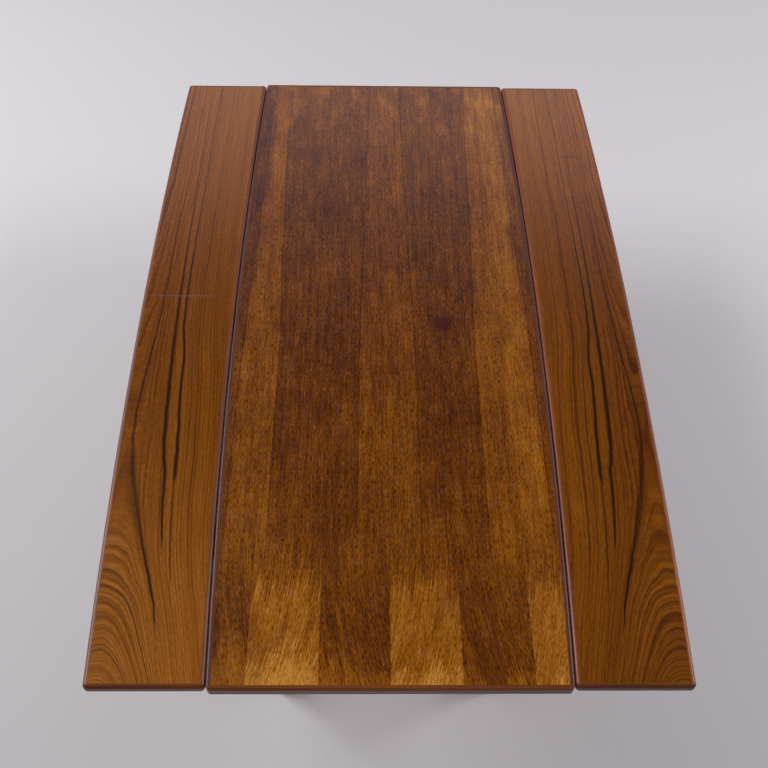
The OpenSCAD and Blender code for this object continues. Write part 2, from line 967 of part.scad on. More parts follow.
// Flat bar with a round end about the rivet and a long slot for the stud
module stay(sx, sy) {
    slot_r = stud_r + slide_clear;
    color("silver")
        quarter(sx, sy)
            translate([rivet_x, stay_y0, rivet_z])
                rotate([-90, 0, 0])
                    rotate([0, 0, 180 - stay_tilt])
                        difference() {
                            union() {
                                cylinder(d = stay_w, h = stay_t);
                                translate([0, -stay_w / 2, 0])
                                    cube([span_up + stay_end - stay_w / 2, stay_w, stay_t]);
                                translate([span_up + stay_end - stay_w / 2, 0, 0])
                                    cylinder(d = stay_w, h = stay_t);
                            }
                            translate([0, 0, -past])
                                cylinder(r = rivet_r + run_clear, h = stay_t + 2 * past);
                            translate([span_down, -slot_r, -past])
                                cube([span_up - span_down, 2 * slot_r, stay_t + 2 * past]);
                            for (x = [span_down, span_up])
                                translate([x, 0, -past])
                                    cylinder(r = slot_r, h = stay_t + 2 * past);
                        }
}

module bracket_screw_places() {
    for (x = [bracket_margin, bracket_w - bracket_margin])
        translate([bracket_x1 - x, bracket_y0 + plate_t,
                   centre_under - apron_h / 4])
            rotate([90, 0, 0])
                children();
    translate([bracket_x1 - bracket_w / 2, bracket_y0 + plate_t, apron_z0 + apron_h / 4])
        rotate([90, 0, 0])
            children();
}

// Plate on the cross rail's face that carries the stud below the apron
module stud_brackets() {
    color("silver")
        each_quarter()
            difference() {
                union() {
                    translate([bracket_x1 - bracket_w, bracket_y0, stud_z])
                        cube([bracket_w, plate_t, centre_under - bracket_margin / 2 - stud_z]);
                    along_y(stud_x, stud_z, bracket_y0, bracket_r, plate_t);
                    translate([bracket_x1 - bracket_w, bracket_y0, stud_z - bracket_r])
                        cube([stud_x - bracket_x1 + bracket_w, plate_t, bracket_r + eps]);
                }
                along_y(stud_x, stud_z, bracket_y0 - past, stud_r + run_clear,
                        plate_t + 2 * past);
                bracket_screw_places()
                    screw_hole(screw_d, screw_l, screw_head_r);
            }
}

module bracket_screws() {
    color("silver")
        each_quarter()
            bracket_screw_places()
                screw(screw_d, screw_l, screw_head_r);
}

module stay_studs() {
    start = bracket_y0 + run_clear;
    end = nut_y0 + nut_h + stud_proud;
    color("silver")
        each_quarter() {
            along_y(stud_x, stud_z, start, stud_r, end - start);
            along_y(stud_x, stud_z, bracket_y0 + plate_t + run_clear, collar_r, collar_t);
        }
}

module stay_washers() {
    color("silver")
        each_quarter()
            difference() {
                along_y(stud_x, stud_z, washer_y0, washer_r, washer_t);
                along_y(stud_x, stud_z, washer_y0 - past, stud_r + run_clear,
                        washer_t + 2 * past);
            }
}

// Knurled nut that clamps the stay on its stud
module clamping_nuts() {
    color("goldenrod")
        each_quarter()
            difference() {
                along_y(stud_x, stud_z, nut_y0, nut_r, nut_h);
                along_y(stud_x, stud_z, nut_y0 - past, stud_r + run_clear, nut_h + 2 * past);
                for (k = [0 : nut_grooves - 1])
                    along_y(stud_x + nut_r * cos(k * 360 / nut_grooves),
                            stud_z + nut_r * sin(k * 360 / nut_grooves),
                            nut_y0 - past, groove_r, nut_h + 2 * past);
            }
}

// ---------------------------------------------------------------- the parts

centre_core();
centre_top_veneer();
centre_backing_veneer();
centre_side_lippings();
centre_end_lippings();
leaf_core(-1);  // left_leaf_core
leaf_top_veneer(-1);  // left_leaf_top_veneer
leaf_backing_veneer(-1);  // left_leaf_backing_veneer
leaf_side_lippings(-1);  // left_leaf_side_lippings
leaf_end_lippings(-1);  // left_leaf_end_lippings
leaf_core(1);  // right_leaf_core
leaf_top_veneer(1);  // right_leaf_top_veneer
leaf_backing_veneer(1);  // right_leaf_backing_veneer
leaf_side_lippings(1);  // right_leaf_side_lippings
leaf_end_lippings(1);  // right_leaf_end_lippings
leg(-1, -1);  // front_left_leg
leg(1, -1);  // front_right_leg
leg(-1, 1);  // back_left_leg
leg(1, 1);  // back_right_leg
foot_glides();
side_apron(-1);  // left_apron
side_apron(1);  // right_apron
end_apron(-1);  // front_apron
end_apron(1);  // back_apron
cross_rail(-1);  // front_cross_rail
cross_rail(1);  // back_cross_rail
corner_blocks();
corner_block_screws();
apron_dowels();
leg_bolts();
leg_bolt_washers();
leg_bolt_nuts();
top_buttons();
top_button_screws();
hinge_plates(-1, -1, 0, centre_under);  // left_fixed_hinge_plates
hinge_plates(1, -1, 0, centre_under);  // right_fixed_hinge_plates
hinge_plates(-1, 1, 1, leaf_under);  // left_leaf_hinge_plates
hinge_plates(1, 1, 1, leaf_under);  // right_leaf_hinge_plates
hinge_pins(-1);  // left_hinge_pins
hinge_pins(1);  // right_hinge_pins
fixed_hinge_screws();
leaf_hinge_screws(-1);  // left_leaf_hinge_screws
leaf_hinge_screws(1);  // right_leaf_hinge_screws
stay_lugs(-1);  // left_stay_lugs
stay_lugs(1);  // right_stay_lugs
lug_screws(-1);  // left_lug_screws
lug_screws(1);  // right_lug_screws
stay_rivets(-1);  // left_stay_rivets
stay_rivets(1);  // right_stay_rivets
stay(-1, -1);  // front_left_stay
stay(1, -1);  // front_right_stay
stay(-1, 1);  // back_left_stay
stay(1, 1);  // back_right_stay
stud_brackets();
bracket_screws();
stay_studs();
stay_washers();
clamping_nuts();
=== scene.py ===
import math

import bmesh
import bpy
from mathutils import Matrix, Vector


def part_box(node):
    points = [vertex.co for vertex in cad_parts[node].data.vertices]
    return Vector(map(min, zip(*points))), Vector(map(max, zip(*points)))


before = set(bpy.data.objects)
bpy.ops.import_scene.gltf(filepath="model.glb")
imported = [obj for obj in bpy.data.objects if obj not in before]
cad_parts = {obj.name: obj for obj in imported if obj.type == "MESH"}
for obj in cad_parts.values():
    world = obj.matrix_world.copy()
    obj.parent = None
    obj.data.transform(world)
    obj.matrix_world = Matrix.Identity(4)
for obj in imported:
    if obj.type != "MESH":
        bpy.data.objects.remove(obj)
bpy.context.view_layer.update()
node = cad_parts
MM = 0.001


# The studio: a plain pale matt floor, faintly lilac walls that shade off upwards and end well
# below the zenith, and a dark ceiling, so that a polished top seen from high up mirrors no
# light and keeps its deep colour. Two large softboxes stand high up on either side.
FLOOR_SIDE = 60.0
FLOOR_HEX = "D5D5D4"
FLOOR_ROUGHNESS = 0.85
BACKDROP_HEX = "E4E3E6"
# how far away the floor starts to run out into the backdrop, and where it is gone (m)
FADE = (2.5, 6.0)
# what the walls are like at each height, as the sine of its angle above the floor
WALLS = ((0.0, "EFE2F4"), (0.58, "EFE2F4"), (0.685, "9A8FA0"), (0.70, "0C0A0C"), (1.0, "060506"))
# how bright the walls are towards the front, and over which directions from front (-1) to
# back (1) they gain their full brightness
FRONT_WALL = 0.35
WALL_TURN = (-0.6, 0.1)
LAMPS = (
    # place (m), aimed at (m), width, height (m), power (W)
    ((-3.3, 0.8, 3.4), (0.0, 0.0, 0.3), 3.0, 2.4, 150.0),
    ((3.6, 0.2, 3.2), (0.0, 0.0, 0.3), 2.4, 2.0, 102.0),
)


def linear(hex_colour):
    """The linear RGBA of an sRGB hex colour."""
    channels = [int(hex_colour[i:i + 2], 16) / 255 for i in (0, 2, 4)]
    return (*(c / 12.92 if c <= 0.04045 else ((c + 0.055) / 1.055) ** 2.4 for c in channels), 1.0)


def feed(tree, source, socket):
    """Give a socket a plain value, or link it to an output or to a node's first live output."""
    if isinstance(source, bpy.types.Node):
        source = next(s for s in source.outputs if s.enabled)
    if isinstance(source, bpy.types.NodeSocket):
        tree.links.new(source, socket)
    else:
        socket.default_value = source


def add(tree, kind, feeds, **settings):
    """Add a shader node with its settings. feeds maps an input's name or number to its source."""
    made = tree.nodes.new("ShaderNode" + kind)
    for name, value in settings.items():
        setattr(made, name, value)
    for name, source in feeds.items():
        socket = made.inputs[name] if isinstance(name, int) else next(
            s for s in made.inputs if s.name == name and s.enabled)
        feed(tree, source, socket)
    return made


def new_material(name, finish):
    """A material, its tree and its one principled shader, with the uniform values of its finish."""
    made = bpy.data.materials.new(name)
    made.use_nodes = True
    tree = made.node_tree
    tree.nodes.clear()
    shader = add(tree, "BsdfPrincipled", finish)
    add(tree, "OutputMaterial", {"Surface": shader})
    return made, tree, shader


def shades(tree, tone, steps):
    """Colour by tone, through (position, hex) steps."""
    ramp = add(tree, "ValToRGB", {"Fac": tone})
    stops = ramp.color_ramp.elements
    stops[0].position = steps[0][0]
    stops[0].color = linear(steps[0][1])
    stops[1].position = steps[-1][0]
    stops[1].color = linear(steps[-1][1])
    for position, shade in steps[1:-1]:
        stops.new(position).color = linear(shade)
    return ramp.outputs["Color"]


def lay_floor():
    """A pale matt floor that runs out into the backdrop a few metres away, as a paper roll does."""
    plan = bmesh.new()
    bmesh.ops.create_grid(plan, x_segments=1, y_segments=1, size=FLOOR_SIDE / 2)
    mesh = bpy.data.meshes.new("floor")
    plan.to_mesh(mesh)
    plan.free()
    floor = bpy.data.objects.new("floor", mesh)
    bpy.context.scene.collection.objects.link(floor)
    paint, tree, shader = new_material("pale_matt_floor", {"Base Color": linear(FLOOR_HEX),
                                                           "Roughness": FLOOR_ROUGHNESS})
    away = add(tree, "VectorMath", {0: add(tree, "TexCoord", {}).outputs["Object"]},
               operation="LENGTH").outputs["Value"]
    fade = add(tree, "MapRange", {"Value": away, "From Min": FADE[0], "From Max": FADE[1]},
               interpolation_type="SMOOTHSTEP")
    fade = add(tree, "Math", {0: fade, 1: add(tree, "LightPath", {}).outputs["Is Camera Ray"]},
               operation="MULTIPLY")
    backdrop = add(tree, "Emission", {"Color": linear(BACKDROP_HEX)})
    swept = add(tree, "MixShader", {0: fade, 1: shader, 2: backdrop})
    feed(tree, swept, tree.nodes["Material Output"].inputs["Surface"])
    mesh.materials.append(paint)


def light_studio():
    """The walls, darker towards the front, and the lamps."""
    world = bpy.data.worlds.new("studio")
    bpy.context.scene.world = world
    world.use_nodes = True
    tree = world.node_tree
    tree.nodes.clear()
    direction = add(tree, "SeparateXYZ", {"Vector": add(tree, "TexCoord", {}).outputs["Generated"]})
    walls = shades(tree, direction.outputs["Z"], WALLS)
    level = add(tree, "MapRange", {"Value": direction.outputs["Y"], "From Min": WALL_TURN[0],
                                   "From Max": WALL_TURN[1], "To Min": FRONT_WALL, "To Max": 1.0},
                interpolation_type="SMOOTHSTEP")
    is_seen = add(tree, "LightPath", {}).outputs["Is Camera Ray"]
    seen = add(tree, "Mix", {"Factor": is_seen, "A": walls, "B": linear(BACKDROP_HEX)}, data_type="RGBA")
    strength = add(tree, "Math", {0: level, 1: is_seen}, operation="MAXIMUM")
    background = add(tree, "Background", {"Color": seen, "Strength": strength})
    add(tree, "OutputWorld", {"Surface": background})
    for number, (place, aim, width, height, power) in enumerate(LAMPS):
        lamp = bpy.data.lights.new(f"softbox_{number}", "AREA")
        lamp.shape = "RECTANGLE"
        lamp.size = width
        lamp.size_y = height
        lamp.energy = power
        holder = bpy.data.objects.new(lamp.name, lamp)
        holder.location = place
        holder.rotation_euler = (Vector(aim) - Vector(place)).to_track_quat("-Z", "Y").to_euler()
        bpy.context.scene.collection.objects.link(holder)


lay_floor()
light_studio()


# The camera: held over the near end of the table at a standing person's eye height, with a
# short telephoto lens, looking steeply down and a touch to the right.
EYE = (-0.0352, -1.2083, 1.9174)
LOOK_DOWN = math.radians(52.9127)
LOOK_RIGHT = math.radians(1.5756)
TILT = math.radians(1.4668)
LENS_MM = 46.634

camera_data = bpy.data.cameras.new("camera")
camera_data.lens = LENS_MM
camera = bpy.data.objects.new("camera", camera_data)
turn = Matrix.Rotation(-LOOK_RIGHT, 4, "Z") @ Matrix.Rotation(math.pi / 2 - LOOK_DOWN, 4, "X")
camera.matrix_world = Matrix.Translation(EYE) @ turn @ Matrix.Rotation(TILT, 4, "Z")
bpy.context.scene.collection.objects.link(camera)
bpy.context.scene.camera = camera
bpy.context.scene.view_settings.view_transform = "Standard"


# The centre panel: a core board under six book-matched sheets of quartered teak veneer, about
# 105 mm wide, oiled and thinly lacquered, darkened by use and rubbed bare along the near end.
# Each sheet is the mirror image of its neighbour, so its figure is drawn on a folded distance.
# places along a panel are distances from its back end, and all of them are in mm
TO_MM = 1 / MM
SHEET = 105.0
PANEL_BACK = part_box("centre_end_lippings")[1].y / MM
PANEL_LENGTH = PANEL_BACK * 2
# old lacquer: its IOR, and the pores that show through it as shallow pits
LACQUER_IOR = 1.57
PORE_DEPTH = 0.1
PORE_STRENGTH = 0.12


def dress(names, material):
    """Give CAD nodes a material in place of their plain one."""
    for name in names:
        node[name].data.materials.clear()
        node[name].data.materials.append(material)


def along_panel(tree, back):
    """The place in mm, its X, its distance from the panel's back end, and that as a share."""
    place = add(tree, "VectorMath", {0: add(tree, "TexCoord", {}).outputs["Object"], 1: (TO_MM,) * 3},
                operation="MULTIPLY")
    axes = add(tree, "SeparateXYZ", {"Vector": place})
    from_back = add(tree, "Math", {0: back, 1: axes.outputs["Y"]}, operation="SUBTRACT")
    run = add(tree, "Math", {0: from_back, 1: back * 2}, operation="DIVIDE")
    return place, axes.outputs["X"], from_back, run


def drawn(tree, run, length, points, low, high):
    """A value that changes along a panel as its given points say, all between low and high."""
    line = add(tree, "FloatCurve", {"Value": run})
    marks = line.mapping.curves[0].points
    placed = [(at / length, (value - low) / (high - low)) for at, value in points]
    marks[0].location = placed[0]
    marks[-1].location = placed[-1]
    for spot in placed[1:-1]:
        marks.new(*spot)
    line.mapping.update()
    return add(tree, "Math", {0: line, 1: high - low, 2: low}, operation="MULTIPLY_ADD")


def figured(tree, tone, layers):
    """Add patterns to a tone, each about its middle value and by its weight."""
    for pattern, weight in layers:
        lean = add(tree, "Math", {0: pattern, 1: 0.5}, operation="SUBTRACT")
        tone = add(tree, "Math", {0: lean, 1: weight, 2: tone}, operation="MULTIPLY_ADD")
    return tone


def pitted(tree, shader, pattern):
    """Let the pores of a pattern show through the lacquer as shallow pits."""
    bump = add(tree, "Bump", {"Height": pattern, "Strength": PORE_STRENGTH, "Distance": PORE_DEPTH * MM})
    feed(tree, bump, shader.inputs["Normal"])


# where a thin dark growth line runs: its folded distance from a dark joint, along the panel,
# and how much further out it lies in the outer sheet on the left; joints are this soft
DARK_LINE = ((0, 73), (300, 66), (520, 62), (760, 55), (1150, 54), (1400, 54))
LEFT_HELD = 35.0
JOINT_BLUR = 1
# how much lighter the wood is beyond it in the inner and the outer sheets, how far from it the
# change begins and ends, and the line's own tone, with the distances over which that is lost
INNER_BAND = 0.07
OUTER_BAND = 0.16
BAND_BLUR = 1.2
LINE_TONE = -0.16
LINE_SPREAD = (0.4, 1.8)
# where the tone drops again beside the long lippings: distance from the middle line along the
# panel, and the distances about it over which it drops
RIGHT_SIDE_LINE = ((0, 232), (130, 234), (520, 246), (760, 254), (1060, 255), (1180, 245), (1400, 244))
LEFT_SIDE_LINE = ((0, 236), (300, 238), (430, 262), (560, 295), (1400, 295))
SIDE_SPREAD = (-1.0, 1.5)
SIDE_DROPS = (
    # hand, line, its least and greatest distance, drop in tone
    (1.0, RIGHT_SIDE_LINE, 220, 265, -0.06),
    (-1.0, LEFT_SIDE_LINE, 220, 300, -0.16),
)
# the narrow strip on the right is lighter, with a soft start
RIGHT_STRIP_LIFT = 0.12
RIGHT_STRIP_BLUR = 8


def veneer_bands(tree, across, side, folded, run):
    """The bands' tones: dark up to the growth line, lighter beyond it, lightest in outer sheets."""
    dark_line = drawn(tree, run, PANEL_LENGTH, DARK_LINE, 40, 80)
    held = add(tree, "MapRange", {"Value": across, "From Min": -SHEET - JOINT_BLUR,
                                  "From Max": -SHEET + JOINT_BLUR, "To Min": LEFT_HELD, "To Max": 0.0})
    last = add(tree, "MapRange", {"Value": across, "From Min": -2 * SHEET - JOINT_BLUR,
                                  "From Max": -2 * SHEET + JOINT_BLUR})
    held = add(tree, "Math", {0: held, 1: last}, operation="MULTIPLY")
    dark_line = add(tree, "Math", {0: dark_line, 1: held}, operation="ADD")
    off = add(tree, "Math", {0: folded, 1: dark_line}, operation="SUBTRACT")
    beyond = add(tree, "MapRange", {"Value": off, "From Min": -BAND_BLUR, "From Max": BAND_BLUR},
                 interpolation_type="SMOOTHSTEP")
    outer = add(tree, "MapRange", {"Value": side, "From Min": SHEET - JOINT_BLUR,
                                   "From Max": SHEET + JOINT_BLUR, "To Min": INNER_BAND,
                                   "To Max": OUTER_BAND})
    bands = add(tree, "Math", {0: beyond, 1: outer}, operation="MULTIPLY")
    line = add(tree, "MapRange", {"Value": add(tree, "Math", {0: off}, operation="ABSOLUTE"),
                                  "From Min": LINE_SPREAD[0], "From Max": LINE_SPREAD[1],
                                  "To Min": LINE_TONE, "To Max": 0.0})
    bands = add(tree, "Math", {0: bands, 1: line}, operation="ADD")
    for hand, side_line, low, high, drop in SIDE_DROPS:
        past = add(tree, "Math", {0: across, 1: hand}, operation="MULTIPLY")
        past = add(tree, "Math", {0: past, 1: drawn(tree, run, PANEL_LENGTH, side_line, low, high)},
                   operation="SUBTRACT")
        dropped = add(tree, "MapRange", {"Value": past, "From Min": SIDE_SPREAD[0],
                                         "From Max": SIDE_SPREAD[1], "To Min": 0.0, "To Max": drop})
        bands = add(tree, "Math", {0: bands, 1: dropped}, operation="ADD")
    right_strip = add(tree, "MapRange", {"Value": across, "From Min": 2 * SHEET - RIGHT_STRIP_BLUR,
                                    "From Max": 2 * SHEET + RIGHT_STRIP_BLUR, "To Min": 0.0, "To Max": RIGHT_STRIP_LIFT})
    return add(tree, "Math", {0: bands, 1: right_strip}, operation="ADD")


# worn and stained veneer, from dark to bare
WORN_TEAK = ((0.0, "341402"), (0.1, "431E02"), (0.2, "4F2603"), (0.3, "5C2E03"), (0.4, "6A3904"),
             (0.5, "7A4405"), (0.7, "8F5710"), (0.86, "A56C22"), (1.0, "BE8438"))
# how brightly the panel catches the light along it, painted into its tone as a sheen
PANEL_PAINTED_SHEEN = ((0, 0.40), (80, 0.37), (200, 0.32), (300, 0.33), (450, 0.26), (600, 0.27), (900, 0.29),
              (1100, 0.31), (1190, 0.37), (1340, 0.37), (1400, 0.43))
# where the bands fade towards the near end, and what is left of them there
BANDS_FADE = (1090, 1240)
BANDS_LEFT = 0.15
# the grain swings aside from here on, and this far by the near end
SWING_START = 1150
SWING = -38.0
# where every other sheet starts to catch the light, how ragged that start is, how much a lit sheet gains
# over its neighbours, and what all of them lose there; this sheen is painted into the tone
PAINTED_FLASH = (1275, 1365)
PAINTED_FLASH_RAGGED = 170.0
PAINTED_FLASH_GAIN = 0.33
PAINTED_FLASH_LOSS = -0.04
# patterns: width and length of a mark (mm), detail, seed; the first three follow the grain
PATTERN_ROUGHNESS = 0.6
GREY = (9, 260, 3, 3.1)
FINE = (2.2, 55, 4, 11.7)
PORES = (1.2, 9, 2, 27.3)
CLOUDS = (95, 190, 3, 5.3)
MOTTLE = (15, 26, 5, 41.9)
TONGUES = (42, 70, 2, 63.0)
PATCHES = (30, 75, 2, 17.0)
RED_STAINS = (60, 110, 2, 71.0)
# pores: from closed to open in the pattern, with their tones
PORES_OPEN = (0.46, 0.66)
PORE_TONES = (0.10, -0.26)
# the finish is rubbed through from here on, once these patterns have moved the place about by
# so many mm each, and it reaches further in on the left
BARE = (1512, 1542)
BARE_TONE = 0.18
FINE_RAGGED = 110.0
MOTTLE_RAGGED = 50.0
TONGUES_RAGGED = 150.0
LEFT_LEAN = -0.13
# and in soft orange patches near the far end
PATCH_SPREAD = (0.46, 0.68)
PATCH_REACH = (60, 330)
PATCH_TONE = 0.17
# reddish stains, and one round dark one with a ragged rim where a wet pot stood
STAIN_HEX = "3C120A"
STAIN_SPREAD = (0.5, 0.72)
STAIN_SHARE = 0.3
POT_PLACE = (103.0, -12.0, 520.0)
POT_RIM = (4.0, 24.0)
POT_RAGGED = -10.0
POT_SHARE = 0.85
# the lacquer is duller where the mottle is stronger
MOTTLE_SPREAD = (0.3, 0.7)
LACQUER_ROUGHNESS = (0.2, 0.3)


def quartered_teak(name):
    """Teak cut across the rings: straight bands, fine pores as dark dashes, cloudy with old oil."""
    made, tree, shader = new_material(name, {"IOR": LACQUER_IOR})
    place, across, from_back, run = along_panel(tree, PANEL_BACK)
    # the folded distance: 0 on the dark joints, a full sheet on the light ones
    side = add(tree, "Math", {0: across}, operation="ABSOLUTE")
    shifted = add(tree, "Math", {0: side, 1: SHEET}, operation="SUBTRACT")
    folded = add(tree, "Math", {0: shifted, 1: SHEET}, operation="PINGPONG")
    sheet_number = add(tree, "Math", {0: add(tree, "Math", {0: across, 1: SHEET}, operation="DIVIDE")},
                       operation="FLOOR")
    # towards the near end the grain swings to one side, and the fold makes it a herringbone
    near = add(tree, "MapRange", {"Value": from_back, "From Min": SWING_START, "From Max": PANEL_LENGTH})
    swing = add(tree, "Math", {0: near, 1: near}, operation="MULTIPLY")
    grain = add(tree, "Math", {0: swing, 1: SWING, 2: folded}, operation="MULTIPLY_ADD")

    def marks(width, length, detail, seed):
        """Noise drawn out along the grain, with marks about width by length in mm."""
        spot = add(tree, "CombineXYZ", {
            "X": add(tree, "Math", {0: grain, 1: 1 / width}, operation="MULTIPLY"),
            "Y": add(tree, "Math", {0: from_back, 1: 1 / length}, operation="MULTIPLY"),
            "Z": sheet_number})
        moved = add(tree, "VectorMath", {0: spot, 1: (seed, seed * 1.7, 0)}, operation="ADD")
        return add(tree, "TexNoise", {"Vector": moved, "Scale": 1.0, "Detail": detail,
                                       "Roughness": PATTERN_ROUGHNESS})

    def stains(width, length, detail, seed):
        """Noise that runs on over the joints, as stains and wear do."""
        spot = add(tree, "VectorMath", {0: place, 1: (1 / width, 1 / length, 0)}, operation="MULTIPLY")
        moved = add(tree, "VectorMath", {0: spot, 1: (seed, seed * 1.3, 0)}, operation="ADD")
        return add(tree, "TexNoise", {"Vector": moved, "Scale": 1.0, "Detail": detail,
                                       "Roughness": PATTERN_ROUGHNESS})

    fine = marks(*FINE)
    pores = marks(*PORES)
    mottle = stains(*MOTTLE)

    # the bands lie over the panel's painted sheen and fade towards the near end
    bands = veneer_bands(tree, across, side, folded, run)
    kept = add(tree, "MapRange", {"Value": from_back, "From Min": BANDS_FADE[0], "From Max": BANDS_FADE[1],
                                  "To Min": 1.0, "To Max": BANDS_LEFT}, interpolation_type="SMOOTHSTEP")
    painted_sheen = drawn(tree, run, PANEL_LENGTH, PANEL_PAINTED_SHEEN, 0, 1)
    tone = add(tree, "Math", {0: bands, 1: kept, 2: painted_sheen}, operation="MULTIPLY_ADD")

    # at the near end every other sheet catches the light, as book-matched sheets do, painted here as a
    # lighter tone
    painted_lit_sheet = add(tree, "Math", {0: 1.0, 1: add(tree, "Math", {0: sheet_number, 1: 2.0},
                                                  operation="FLOORED_MODULO")}, operation="SUBTRACT")
    started = add(tree, "Math", {0: fine, 1: PAINTED_FLASH_RAGGED, 2: from_back}, operation="MULTIPLY_ADD")
    painted_flash = add(tree, "MapRange", {"Value": started, "From Min": PAINTED_FLASH[0], "From Max": PAINTED_FLASH[1]},
                interpolation_type="SMOOTHSTEP")
    change = add(tree, "Math", {0: painted_lit_sheet, 1: PAINTED_FLASH_GAIN, 2: PAINTED_FLASH_LOSS}, operation="MULTIPLY_ADD")
    tone = add(tree, "Math", {0: painted_flash, 1: change, 2: tone}, operation="MULTIPLY_ADD")

    # the figure itself
    tone = figured(tree, tone, ((stains(*CLOUDS), 0.42), (mottle, 0.2), (marks(*GREY), 0.5), (fine, 0.85)))
    open_pores = add(tree, "MapRange", {"Value": pores, "From Min": PORES_OPEN[0],
                                        "From Max": PORES_OPEN[1], "To Min": PORE_TONES[0],
                                        "To Max": PORE_TONES[1]})
    tone = add(tree, "Math", {0: open_pores, 1: tone}, operation="ADD")

    # finish rubbed through in ragged tongues, and in soft orange patches near the far end
    reach = from_back
    for pattern, shift in ((fine, FINE_RAGGED), (mottle, MOTTLE_RAGGED),
                           (stains(*TONGUES), TONGUES_RAGGED), (across, LEFT_LEAN)):
        reach = add(tree, "Math", {0: pattern, 1: shift, 2: reach}, operation="MULTIPLY_ADD")
    bare = add(tree, "MapRange", {"Value": reach, "From Min": BARE[0], "From Max": BARE[1]},
               interpolation_type="SMOOTHSTEP")
    tone = add(tree, "Math", {0: bare, 1: BARE_TONE, 2: tone}, operation="MULTIPLY_ADD")
    rubbed = add(tree, "MapRange", {"Value": stains(*PATCHES), "From Min": PATCH_SPREAD[0],
                                    "From Max": PATCH_SPREAD[1]}, interpolation_type="SMOOTHSTEP")
    far = add(tree, "MapRange", {"Value": from_back, "From Min": PATCH_REACH[0], "From Max": PATCH_REACH[1],
                                 "To Min": PATCH_TONE, "To Max": 0.0}, interpolation_type="SMOOTHSTEP")
    tone = add(tree, "Math", {0: rubbed, 1: far, 2: tone}, operation="MULTIPLY_ADD")
    colour = shades(tree, tone, WORN_TEAK)

    # the stains lie over everything
    red = add(tree, "MapRange", {"Value": stains(*RED_STAINS), "From Min": STAIN_SPREAD[0],
                                 "From Max": STAIN_SPREAD[1], "To Min": 0.0, "To Max": STAIN_SHARE})
    from_pot = add(tree, "VectorMath", {0: place, 1: POT_PLACE}, operation="DISTANCE").outputs["Value"]
    from_pot = add(tree, "Math", {0: mottle, 1: POT_RAGGED, 2: from_pot}, operation="MULTIPLY_ADD")
    pot_stain = add(tree, "MapRange", {"Value": from_pot, "From Min": POT_RIM[0], "From Max": POT_RIM[1],
                                       "To Min": POT_SHARE, "To Max": 0.0}, interpolation_type="SMOOTHSTEP")
    red = add(tree, "Math", {0: red, 1: pot_stain}, operation="MAXIMUM")
    colour = add(tree, "Mix", {"Factor": red, "A": colour, "B": linear(STAIN_HEX)}, data_type="RGBA")
    feed(tree, colour, shader.inputs["Base Color"])
    shine = add(tree, "MapRange", {"Value": mottle, "From Min": MOTTLE_SPREAD[0],
                                   "From Max": MOTTLE_SPREAD[1], "To Min": LACQUER_ROUGHNESS[0],
                                   "To Max": LACQUER_ROUGHNESS[1]})
    feed(tree, shine, shader.inputs["Roughness"])
    pitted(tree, shader, pores)
    return made


# quartered teak veneer under old lacquer: a deep cloudy brown with straight bands
dress(["centre_top_veneer"], quartered_teak("quartered_teak_veneer"))


# The leaves: each one sheet of crown-cut teak veneer from the same log, laid as a mirror pair.
# The cut runs close under the heart of the log, so the rings open into arches near the front.
# Places across a leaf are distances in from its outer edge.
LEAF_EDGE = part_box("right_leaf_end_lippings")[1].x / MM
LEAF_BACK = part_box("right_leaf_end_lippings")[1].y / MM
LEAF_LENGTH = LEAF_BACK * 2
# where the heart lies: its distance in from the outer edge, and its depth, along the leaf
HEART_SIDE = ((0, -20), (300, -22), (500, -23), (730, -13), (860, 1), (1000, 9), (1250, 11), (1392, 18))
HEART_DEPTH = ((0, 79), (500, 86), (730, 95), (850, 99), (1050, 100), (1133, 96), (1213, 85), (1265, 71),
               (1337, 49), (1392, 20))
# how far the rings wander to and fro, in waves this long across and along the leaf
RING_WANDER = 5.0
WANDER_ACROSS = 45
WANDER_ALONG = 150


def growth_rings(tree, inward, from_back, run, seed):
    """Distance from the heart of the log, which the rings follow, a little unsteady."""
    heart_side = drawn(tree, run, LEAF_LENGTH, HEART_SIDE, -30, 30)
    heart_depth = drawn(tree, run, LEAF_LENGTH, HEART_DEPTH, 0, 120)
    out = add(tree, "Math", {0: inward, 1: heart_side}, operation="SUBTRACT")
    wobble_place = add(tree, "CombineXYZ", {
        "X": add(tree, "Math", {0: inward, 1: 1 / WANDER_ACROSS}, operation="MULTIPLY"),
        "Y": add(tree, "Math", {0: from_back, 1: 1 / WANDER_ALONG}, operation="MULTIPLY"), "Z": seed})
    wobble = add(tree, "TexNoise", {"Vector": wobble_place, "Scale": 1.0, "Detail": 2.5})
    ring = add(tree, "VectorMath", {0: add(tree, "CombineXYZ", {"X": out, "Y": heart_depth})},
               operation="LENGTH").outputs["Value"]
    ring = add(tree, "Math", {0: wobble, 1: RING_WANDER, 2: ring}, operation="MULTIPLY_ADD")
    return add(tree, "Math", {0: ring, 1: RING_WANDER / 2}, operation="SUBTRACT")


